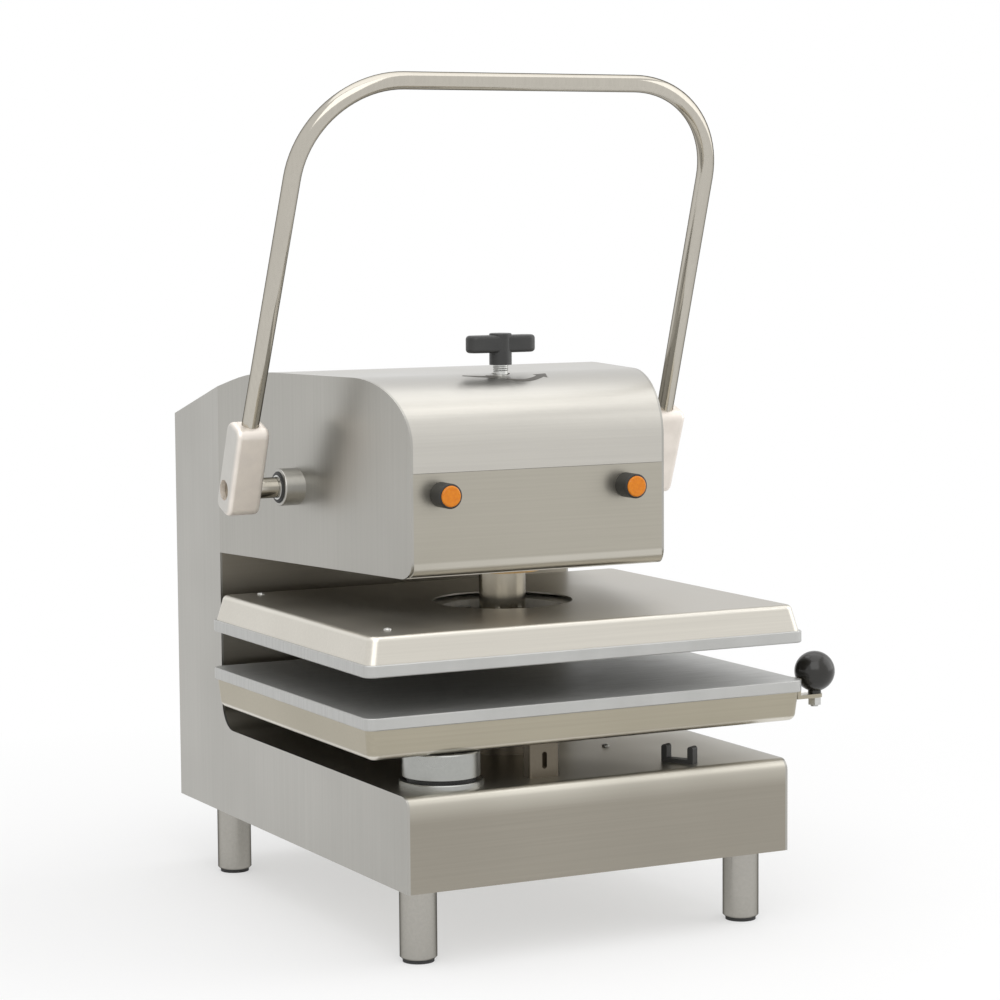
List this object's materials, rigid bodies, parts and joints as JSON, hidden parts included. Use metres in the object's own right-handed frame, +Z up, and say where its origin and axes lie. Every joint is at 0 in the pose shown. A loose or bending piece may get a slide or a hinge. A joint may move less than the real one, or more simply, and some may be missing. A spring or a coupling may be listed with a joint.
{
  "type": "heated tortilla press",
  "caption": "Countertop heated press with two flat platens, a lever-driven ram in a brushed stainless head, a swing-out lower platen and a thickness knob.",
  "frame": {"origin": "point on the counter straight under the ram's axis", "axes": "+X to the operator's right, +Y to the back, +Z up"},
  "size_m": [0.574, 0.624, 0.8891],
  "materials": {
    "brushed_stainless": "fine straight brushing",
    "leg_stainless": "turned stainless",
    "tube_stainless": "polished stainless",
    "cast_alloy": "satin cast alloy",
    "platen_aluminium": "fine milled aluminium",
    "frame_steel": "satin dark grey",
    "machined_steel": "machined steel",
    "zinc_fasteners": "zinc plated",
    "bronze": "sintered bronze",
    "black_nylon": "matte black",
    "black_knob": "polished black phenolic",
    "foot_rubber": "matte black",
    "amber_lens": "translucent amber",
    "heater_sheath": "heat-darkened sheath",
    "insulation_felt": "ceramic felt"
  },
  "bodies": {
    "frame": {"left_side_plate": "brushed_stainless", "right_side_plate": "brushed_stainless", "base_cover": "brushed_stainless", "base_bottom_plate": "brushed_stainless", "rear_cover": "brushed_stainless", "head_hood": "brushed_stainless", "head_front_panel": "brushed_stainless", "head_bottom_plate": "brushed_stainless", "left_frame_plate": "frame_steel", "right_frame_plate": "frame_steel", "shaft_bearings": "bronze", "shaft_bushings": "black_nylon", "base_beam": "frame_steel", "guide_block": "frame_steel", "ram_bush": "bronze", "lift_cylinders": "machined_steel", "frame_bolts": "zinc_fasteners", "adjuster_bridge": "frame_steel", "front_left_leg": "leg_stainless", "front_right_leg": "leg_stainless", "back_left_leg": "leg_stainless", "back_right_leg": "leg_stainless", "foot_pads": "foot_rubber", "lamp_bezels": "black_nylon", "lamp_lenses": "amber_lens", "pivot_post": "machined_steel", "thrust_washer": "black_nylon", "support_pedestal": "frame_steel", "front_rest": "frame_steel", "stop_bracket": "black_nylon", "cord_gland": "black_nylon", "switch_frame": "black_nylon", "rear_cover_screws": "zinc_fasteners"},
    "lever": {"lever_shaft": "tube_stainless", "left_hub": "cast_alloy", "right_hub": "cast_alloy", "hub_set_screws": "zinc_fasteners", "handle_tube": "tube_stainless", "sector_gear": "machined_steel"},
    "ram": {"ram_shaft": "tube_stainless", "crosshead": "frame_steel", "rack_bar": "machined_steel", "lift_rods": "machined_steel", "flange_bolts": "zinc_fasteners", "upper_platen": "platen_aluminium", "upper_cover": "brushed_stainless", "upper_heater": "heater_sheath", "upper_insulation": "insulation_felt"},
    "adjuster": {"adjuster_screw": "machined_steel", "t_knob": "black_knob"},
    "stop_nut": {"stop_nut": "machined_steel"},
    "lower_press": {"lower_platen": "platen_aluminium", "lower_pan": "brushed_stainless", "lower_heater": "heater_sheath", "lower_insulation": "insulation_felt", "pivot_barrel": "machined_steel", "knob_bracket": "brushed_stainless", "knob_stud": "machined_steel", "ball_knob": "black_knob"},
    "rocker": {"rocker": "black_nylon"}
  },
  "joints": [
    {"name": "lever_hinge", "type": "hinge", "parent": "frame", "child": "lever", "pos_m": [0, 0.113, 0.4544], "axis": [1, 0, 0], "range_deg": [0, 51.5]},
    {"name": "ram_slide", "type": "slide", "parent": "frame", "child": "ram", "axis": [0, 0, -1], "range_m": [0, 0.036], "stiffness_N_per_m": 1700, "springref_m": -0.18},
    {"name": "adjuster_turn", "type": "hinge", "parent": "frame", "child": "adjuster", "pos_m": [0, 0, 0.55], "axis": [0, 0, 1], "range_deg": [-1080, 0]},
    {"name": "stop_nut_slide", "type": "slide", "parent": "frame", "child": "stop_nut", "axis": [0, 0, 1], "range_m": [0, 0.006]},
    {"name": "lower_platen_swing", "type": "hinge", "parent": "frame", "child": "lower_press", "pos_m": [-0.156, -0.166, 0.2], "axis": [0, 0, 1], "range_deg": [-90, 0]},
    {"name": "switch_rock", "type": "hinge", "parent": "frame", "child": "rocker", "pos_m": [-0.13, 0.385, 0.128], "axis": [1, 0, 0], "range_deg": [0, 18]}
  ],
  "couplings": [
    {"joint": "ram_slide", "follows": "lever_hinge", "m_per_rad": 0.04},
    {"joint": "stop_nut_slide", "follows": "adjuster_turn", "m_per_rad": -0.000318}
  ]
}
